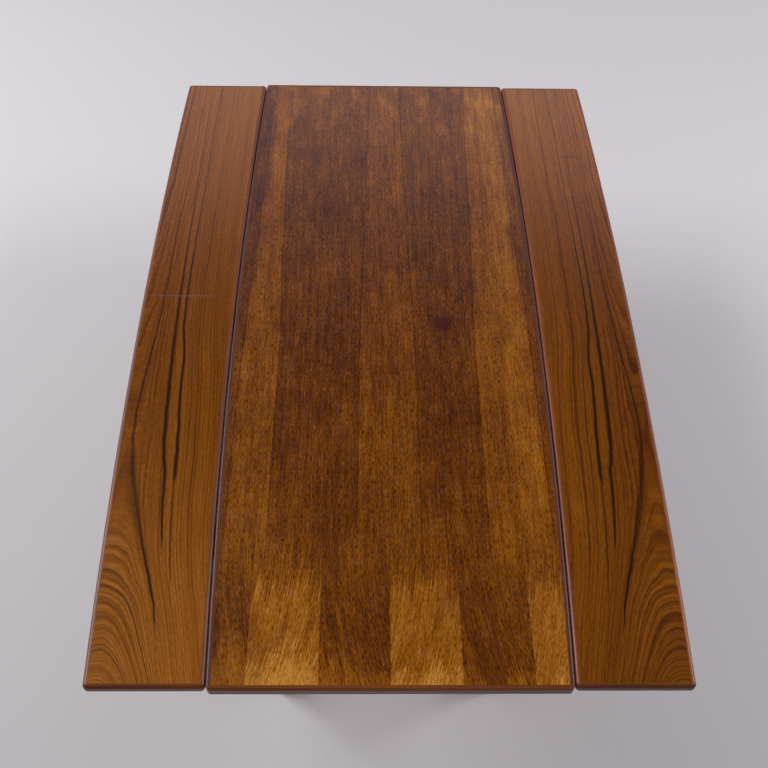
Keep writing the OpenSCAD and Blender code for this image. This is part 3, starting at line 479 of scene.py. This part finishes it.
# black mineral streaks, as distance in from the outer edge along the leaf, with how wide each
# is (mm) and how dark, along the leaf; their paths waver a little, in waves this long, and
# each streak fades out between these shares of its half width
STREAK_HEX = "231003"
STREAK_WAVER = 3.0
WAVER_LENGTH = 28
STREAK_SPREAD = (0.1, 1.5)
STREAKS = (
    {"path": ((0, 29), (250, 27), (640, 26), (733, 22), (808, 16), (875, 12), (942, 11), (996, 16),
              (1050, 26), (1133, 46), (1187, 62), (1230, 75), (1263, 85), (1300, 92), (1353, 100),
              (1392, 108)),
     "width": ((0, 1.5), (500, 2.5), (800, 4), (940, 5), (1080, 11), (1160, 8), (1240, 5.5), (1300, 3),
               (1392, 2)),
     "dark": ((0, 0.3), (500, 0.5), (800, 0.8), (1050, 0.75), (1150, 0.8), (1240, 1.0), (1290, 0.9),
              (1315, 0.2), (1392, 0.15))},
    {"path": ((0, 56), (125, 55), (750, 56), (875, 60), (958, 64), (1000, 68), (1033, 74), (1100, 78),
              (1143, 83), (1185, 89), (1392, 130)),
     "width": ((0, 1.5), (400, 3), (600, 5), (800, 7.5), (950, 8.5), (1050, 7), (1150, 5), (1392, 1.5)),
     "dark": ((0, 0.45), (400, 0.6), (600, 0.85), (800, 0.95), (1100, 0.95), (1150, 0.9), (1190, 0.1),
              (1392, 0.0))},
    {"path": ((0, 77), (125, 73), (333, 71), (500, 68), (708, 69), (792, 78), (862, 80), (960, 87),
              (1040, 91), (1133, 96), (1187, 101), (1253, 109), (1392, 128)),
     "width": ((0, 2.5), (400, 3), (550, 4), (700, 5), (900, 6), (1030, 7.5), (1060, 4), (1250, 3),
               (1392, 1)),
     "dark": ((0, 0.7), (400, 0.75), (550, 0.95), (1035, 1.0), (1060, 0.6), (1120, 0.8), (1200, 0.7),
              (1260, 0.2), (1392, 0.0))},
)
# rings that show as plain dark arches: distance from the heart, half width, strength, and the
# shares of the half width between which they fade out
ARCHES = ((38, 0.9, 0.35), (49, 1.1, 0.6), (65, 1.0, 0.4), (72, 1.0, 0.45), (80, 1.1, 0.5), (86, 0.9, 0.4))
ARCH_SPREAD = (0.25, 1.3)


def black_streaks(tree, ring, inward, from_back, run, seed):
    """How black the veneer is: the mineral streaks, and the rings that show as arches."""
    waver_place = add(tree, "CombineXYZ", {
        "X": add(tree, "Math", {0: from_back, 1: 1 / WAVER_LENGTH}, operation="MULTIPLY"), "Y": seed})
    waver = add(tree, "TexNoise", {"Vector": waver_place, "Scale": 1.0, "Detail": 3.0},
                noise_dimensions="2D")
    black = 0.0
    for streak in STREAKS:
        path = drawn(tree, run, LEAF_LENGTH, streak["path"], 0, 140)
        path = add(tree, "Math", {0: waver, 1: STREAK_WAVER, 2: path}, operation="MULTIPLY_ADD")
        off = add(tree, "Math", {0: inward, 1: path}, operation="SUBTRACT")
        off = add(tree, "Math", {0: off, 1: STREAK_WAVER / 2}, operation="ADD")
        off = add(tree, "Math", {0: off}, operation="ABSOLUTE")
        half = drawn(tree, run, LEAF_LENGTH, [(at, wide / 2) for at, wide in streak["width"]], 0, 6)
        share = add(tree, "Math", {0: off, 1: half}, operation="DIVIDE")
        mark = add(tree, "MapRange", {"Value": share, "From Min": STREAK_SPREAD[0],
                                      "From Max": STREAK_SPREAD[1], "To Min": 1.0, "To Max": 0.0},
                   interpolation_type="SMOOTHSTEP")
        dark = drawn(tree, run, LEAF_LENGTH, streak["dark"], 0, 1)
        mark = add(tree, "Math", {0: mark, 1: dark}, operation="MULTIPLY")
        black = add(tree, "Math", {0: black, 1: mark}, operation="MAXIMUM")
    for radius, half, strength in ARCHES:
        off = add(tree, "Math", {0: ring, 1: float(radius)}, operation="SUBTRACT")
        off = add(tree, "Math", {0: off}, operation="ABSOLUTE")
        mark = add(tree, "MapRange", {"Value": off, "From Min": half * ARCH_SPREAD[0],
                                      "From Max": half * ARCH_SPREAD[1], "To Min": strength,
                                      "To Max": 0.0}, interpolation_type="SMOOTHSTEP")
        black = add(tree, "Math", {0: black, 1: mark}, operation="MAXIMUM")
    return black


# old marks across the grain: distance from the back, where they start and end in from the edge,
# colour, strength; how soft their sides and their start are, and over what length they end
# on the left leaf a real scratch, coloured pale lilac as a painted reflection
LEFT_MARKS_WITH_PAINTED_REFLECTION = ((643, 0, 130, "6A4F62", 0.4),)
RIGHT_MARKS = ((240, 20, 90, "401408", 0.35), (367, 0, 110, "401408", 0.3), (379, 0, 150, "401408", 0.25))
MARK_SPREAD = (0.5, 2.2)
MARK_BLUR = 4
MARK_FADE = 30


def cross_marks(tree, colour, marks, inward, from_back):
    """Faint old lines across the grain, each fading out at its inner end; the lilac one is a real scratch
    painted in the colour of a reflection.
    """
    for at, start, end, shade, strength in marks:
        off = add(tree, "Math", {0: from_back, 1: float(at)}, operation="SUBTRACT")
        off = add(tree, "Math", {0: off}, operation="ABSOLUTE")
        line = add(tree, "MapRange", {"Value": off, "From Min": MARK_SPREAD[0], "From Max": MARK_SPREAD[1],
                                      "To Min": strength, "To Max": 0.0})
        begins = add(tree, "MapRange", {"Value": inward, "From Min": start - MARK_BLUR,
                                        "From Max": start + MARK_BLUR})
        ends = add(tree, "MapRange", {"Value": inward, "From Min": end - MARK_FADE, "From Max": end,
                                      "To Min": 1.0, "To Max": 0.0})
        line = add(tree, "Math", {0: line, 1: begins}, operation="MULTIPLY")
        line = add(tree, "Math", {0: line, 1: ends}, operation="MULTIPLY")
        colour = add(tree, "Mix", {"Factor": line, "A": colour, "B": linear(shade)}, data_type="RGBA")
    return colour


# mean width of a growth ring, and how unevenly wide the years are
RING_PITCH = 3.8
RING_UNEVEN = 12.0
# the part of a year's growth over which late wood darkens, and how dark, from faint years to
# strong ones in the pattern
LATE_WOOD = (0.35, 0.95)
LATE_TONES = (-0.06, -0.34)
STRONG_SPREAD = (0.36, 0.64)
# patterns along the rings: width and length of a mark (mm), detail, seed
STREAKY_ROUGHNESS = 0.55
UNEVEN = (9, 2500, 2, 61.0)
STRONG = (6, 700, 2, 5.0)
BROAD = (20, 1200, 2, 9.0)
FIBRES = (1.1, 70, 3, 14.0)
FLECKS = (1.5, 9, 3, 33.0)
# lacquered veneer, from dark to light
LACQUERED_TEAK = ((0.0, "3E1C04"), (0.25, "562B05"), (0.5, "6C3B07"), (0.75, "834C10"), (1.0, "9C6423"))
LEAF_ROUGHNESS = 0.2
# how brightly the fibres of each leaf catch the light along it, painted into its tone as a sheen
LEFT_PAINTED_SHEEN = ((0, 0.80), (150, 0.76), (300, 0.71), (450, 0.64), (600, 0.58), (800, 0.58), (950, 0.62),
             (1080, 0.69), (1200, 0.79), (1392, 0.87))
RIGHT_PAINTED_SHEEN = ((0, 0.84), (150, 0.79), (300, 0.71), (450, 0.59), (600, 0.53), (1000, 0.56), (1392, 0.52))


def crown_cut_teak(name, painted_sheen, marks, seed):
    """Teak cut along the rings: arches and long flames with black streaks, warm orange brown."""
    made, tree, shader = new_material(name, {"IOR": LACQUER_IOR, "Roughness": LEAF_ROUGHNESS})
    _, x, from_back, run = along_panel(tree, LEAF_BACK)
    side = add(tree, "Math", {0: x}, operation="ABSOLUTE")
    inward = add(tree, "Math", {0: LEAF_EDGE, 1: side}, operation="SUBTRACT")
    ring = growth_rings(tree, inward, from_back, run, seed)

    def streaks(width, length, detail, shift):
        """Noise drawn out along the rings, with marks about width by length in mm."""
        spot = add(tree, "CombineXYZ", {
            "X": add(tree, "Math", {0: ring, 1: 1 / width}, operation="MULTIPLY"),
            "Y": add(tree, "Math", {0: from_back, 1: 1 / length}, operation="MULTIPLY"), "Z": shift + seed})
        return add(tree, "TexNoise", {"Vector": spot, "Scale": 1.0, "Detail": detail,
                                      "Roughness": STREAKY_ROUGHNESS})

    # one year of growth: paler early wood darkens to a thin line of late wood, then ends sharply
    grown = add(tree, "Math", {0: streaks(*UNEVEN), 1: RING_UNEVEN, 2: ring}, operation="MULTIPLY_ADD")
    grown = add(tree, "Math", {0: grown, 1: 1 / RING_PITCH}, operation="MULTIPLY")
    year = add(tree, "Math", {0: grown}, operation="FRACT")
    late = add(tree, "MapRange", {"Value": year, "From Min": LATE_WOOD[0], "From Max": LATE_WOOD[1]},
               interpolation_type="SMOOTHSTEP")
    strong = add(tree, "MapRange", {"Value": streaks(*STRONG), "From Min": STRONG_SPREAD[0],
                                    "From Max": STRONG_SPREAD[1], "To Min": LATE_TONES[0],
                                    "To Max": LATE_TONES[1]})
    fibres = streaks(*FIBRES)
    # the tone starts from the sheen painted along the leaf
    tone = drawn(tree, run, LEAF_LENGTH, painted_sheen, 0, 1)
    tone = add(tree, "Math", {0: late, 1: strong, 2: tone}, operation="MULTIPLY_ADD")
    tone = figured(tree, tone, ((streaks(*BROAD), 0.45), (fibres, 0.55), (streaks(*FLECKS), 0.5)))
    colour = shades(tree, tone, LACQUERED_TEAK)
    black = black_streaks(tree, ring, inward, from_back, run, seed)
    colour = add(tree, "Mix", {"Factor": black, "A": colour, "B": linear(STREAK_HEX)}, data_type="RGBA")
    colour = cross_marks(tree, colour, marks, inward, from_back)
    feed(tree, colour, shader.inputs["Base Color"])
    pitted(tree, shader, fibres)
    return made


# crown-cut teak veneer under clear lacquer: a glossy warm orange brown with black flames
dress(["left_leaf_top_veneer"], crown_cut_teak("crown_cut_teak_left", LEFT_PAINTED_SHEEN, LEFT_MARKS_WITH_PAINTED_REFLECTION, 0.0))
dress(["right_leaf_top_veneer"], crown_cut_teak("crown_cut_teak_right", RIGHT_PAINTED_SHEEN, RIGHT_MARKS, 0.4))


# The lippings: strips of solid teak glued round each board, rounded over and lacquered. Along the centre
# panel, where they lie in the joints, they are coloured darker than on the leaves. Those at the ends are
# rubbed down to bare wood, which mirrors less of the floor than lacquer does.
WOOD_IOR = 1.5
RUBBED_IOR = 1.3
# marks in the wood are this much thinner than long; width of the broad and the fine ones (mm),
# how much each counts, and from what to what sum the colour goes from dark to light
FIBRE_STRETCH = 0.025
BROAD_MARKS = 9
FINE_MARKS = 1.5
BROAD_SHARE = 0.7
FINE_SHARE = 0.4
GRAIN_SPREAD = (0.35, 0.75)
LIPPINGS = (
    # node, material, axis of the fibres, light, dark, roughness, IOR
    ("centre_side_lippings", "teak_lipping_long", "Y", "5C2C14", "401C0E", 0.42, WOOD_IOR),
    ("centre_end_lippings", "teak_lipping_cross", "X", "744022", "502C16", 0.3, RUBBED_IOR),
    ("left_leaf_side_lippings", "teak_lipping_left", "Y", "7E4214", "54290F", 0.4, WOOD_IOR),
    ("left_leaf_end_lippings", "teak_lipping_left_end", "X", "74401E", "4C2812", 0.3, RUBBED_IOR),
    ("right_leaf_side_lippings", "teak_lipping_right", "Y", "8F470F", "5A2A0C", 0.4, WOOD_IOR),
    ("right_leaf_end_lippings", "teak_lipping_right_end", "X", "74401E", "4C2812", 0.3, RUBBED_IOR),
)


def straight_wood(name, along, light, dark, rough, ior=WOOD_IOR):
    """Plain straight-grained wood with its fibres along one axis, X, Y or Z."""
    made, tree, shader = new_material(name, {"IOR": ior, "Roughness": rough})
    stretch = [TO_MM * (FIBRE_STRETCH if axis == along else 1) for axis in "XYZ"]
    place = add(tree, "VectorMath", {0: add(tree, "TexCoord", {}).outputs["Object"], 1: stretch},
                operation="MULTIPLY")
    broad = add(tree, "TexNoise", {"Vector": place, "Scale": 1 / BROAD_MARKS, "Detail": 4.0})
    fine = add(tree, "TexNoise", {"Vector": place, "Scale": 1 / FINE_MARKS, "Detail": 3.0})
    fine = add(tree, "Math", {0: fine, 1: FINE_SHARE}, operation="MULTIPLY")
    tone = add(tree, "Math", {0: broad, 1: BROAD_SHARE, 2: fine}, operation="MULTIPLY_ADD")
    share = add(tree, "MapRange", {"Value": tone, "From Min": GRAIN_SPREAD[0], "From Max": GRAIN_SPREAD[1]})
    colour = add(tree, "Mix", {"Factor": share, "A": linear(dark), "B": linear(light)}, data_type="RGBA")
    feed(tree, colour, shader.inputs["Base Color"])
    return made


# solid teak, lacquered or rubbed: reddish brown with fine straight fibres and a soft shine
for lipping, finish, along, light, dark, rough, ior in LIPPINGS:
    dress([lipping], straight_wood(finish, along, light, dark, rough, ior))


# The boards: a core of raw spruce blocks inside each panel, and under it a sheet of plain teak
# veneer, glued on so that the board stays flat, and given one coat of oil.

# plain teak veneer, oiled: matt and a little paler than the polished side
backing = straight_wood("teak_backing", "Y", "8A5A2C", "6B4420", 0.5)
dress(["centre_backing_veneer", "left_leaf_backing_veneer", "right_leaf_backing_veneer"], backing)
# raw spruce: pale, dry and dull
raw_core = straight_wood("spruce_core", "Y", "D9B98A", "BF9A68", 0.7)
dress(["centre_core", "left_leaf_core", "right_leaf_core"], raw_core)


# The frame: turned legs, aprons dowelled between them and two tenoned cross rails, all of solid
# oiled teak. Plain beech blocks brace the corners, and beech buttons hold the top down.
TEAK_LIGHT = "86511F"
TEAK_DARK = "5F3513"
TEAK_ROUGHNESS = 0.42
FRAME_PIECES = (
    # material, axis of the fibres, nodes
    ("solid_teak_long", "Y", ["left_apron", "right_apron"]),
    ("solid_teak_cross", "X", ["front_apron", "back_apron", "front_cross_rail", "back_cross_rail"]),
    ("solid_teak_upright", "Z", ["front_left_leg", "front_right_leg", "back_left_leg", "back_right_leg"]),
)

# solid teak, oiled: golden brown with a low sheen, its fibres along each piece
for finish, along, pieces in FRAME_PIECES:
    dress(pieces, straight_wood(finish, along, TEAK_LIGHT, TEAK_DARK, TEAK_ROUGHNESS))
# plain beech: pale, close-grained and left raw
beech = straight_wood("plain_beech", "X", "D8B184", "BE9264", 0.6)
dress(["corner_blocks", "apron_dowels", "top_buttons"], beech)


# The metal fittings: zinc plated screws, bolts, rivets and studs, stays and their lugs and
# brackets pressed from rolled strip steel, and hinges and clamping nuts of brass.
SHINE_SPREAD = 0.08
CLOUDS_PER_M = 220.0


def cloudy_metal(name, shade, rough):
    """A metal with a faint cloudy variation in its shine, in clouds of 4 or 5 mm."""
    made, tree, shader = new_material(name, {"Base Color": linear(shade), "Metallic": 1.0})
    cloud = add(tree, "TexNoise", {"Vector": add(tree, "TexCoord", {}).outputs["Object"],
                                   "Scale": CLOUDS_PER_M, "Detail": 3.0})
    shine = add(tree, "MapRange", {"Value": cloud, "To Min": rough - SHINE_SPREAD,
                                   "To Max": rough + SHINE_SPREAD})
    feed(tree, shine, shader.inputs["Roughness"])
    return made


# zinc plated steel: cool pale grey, satin
zinc = cloudy_metal("zinc_plated_steel", "B9BABB", 0.4)
dress([name for name in node if name.endswith("screws") and "hinge" not in name], zinc)
dress(["leg_bolts", "leg_bolt_washers", "leg_bolt_nuts", "left_stay_rivets", "right_stay_rivets",
       "stay_studs", "stay_washers"], zinc)
# rolled strip steel: a warmer grey, duller from rolling
strip = cloudy_metal("rolled_strip_steel", "A9A7A1", 0.45)
dress([name for name in node if name.endswith("_stay")], strip)
dress(["stud_brackets", "left_stay_lugs", "right_stay_lugs"], strip)
# aged brass: a dull gold, polished only where hands turn it
brass = cloudy_metal("aged_brass", "B08B4A", 0.35)
dress([name for name in node if "hinge" in name], brass)
dress(["clamping_nuts"], brass)


# The glides: black nylon, moulded in one piece with a pin and pushed into the foot of each leg.
# Moulded nylon is a plain near-black with a satin face.
nylon, _, _ = new_material("black_nylon", {"Base Color": linear("1B1918")})
dress(["foot_glides"], nylon)
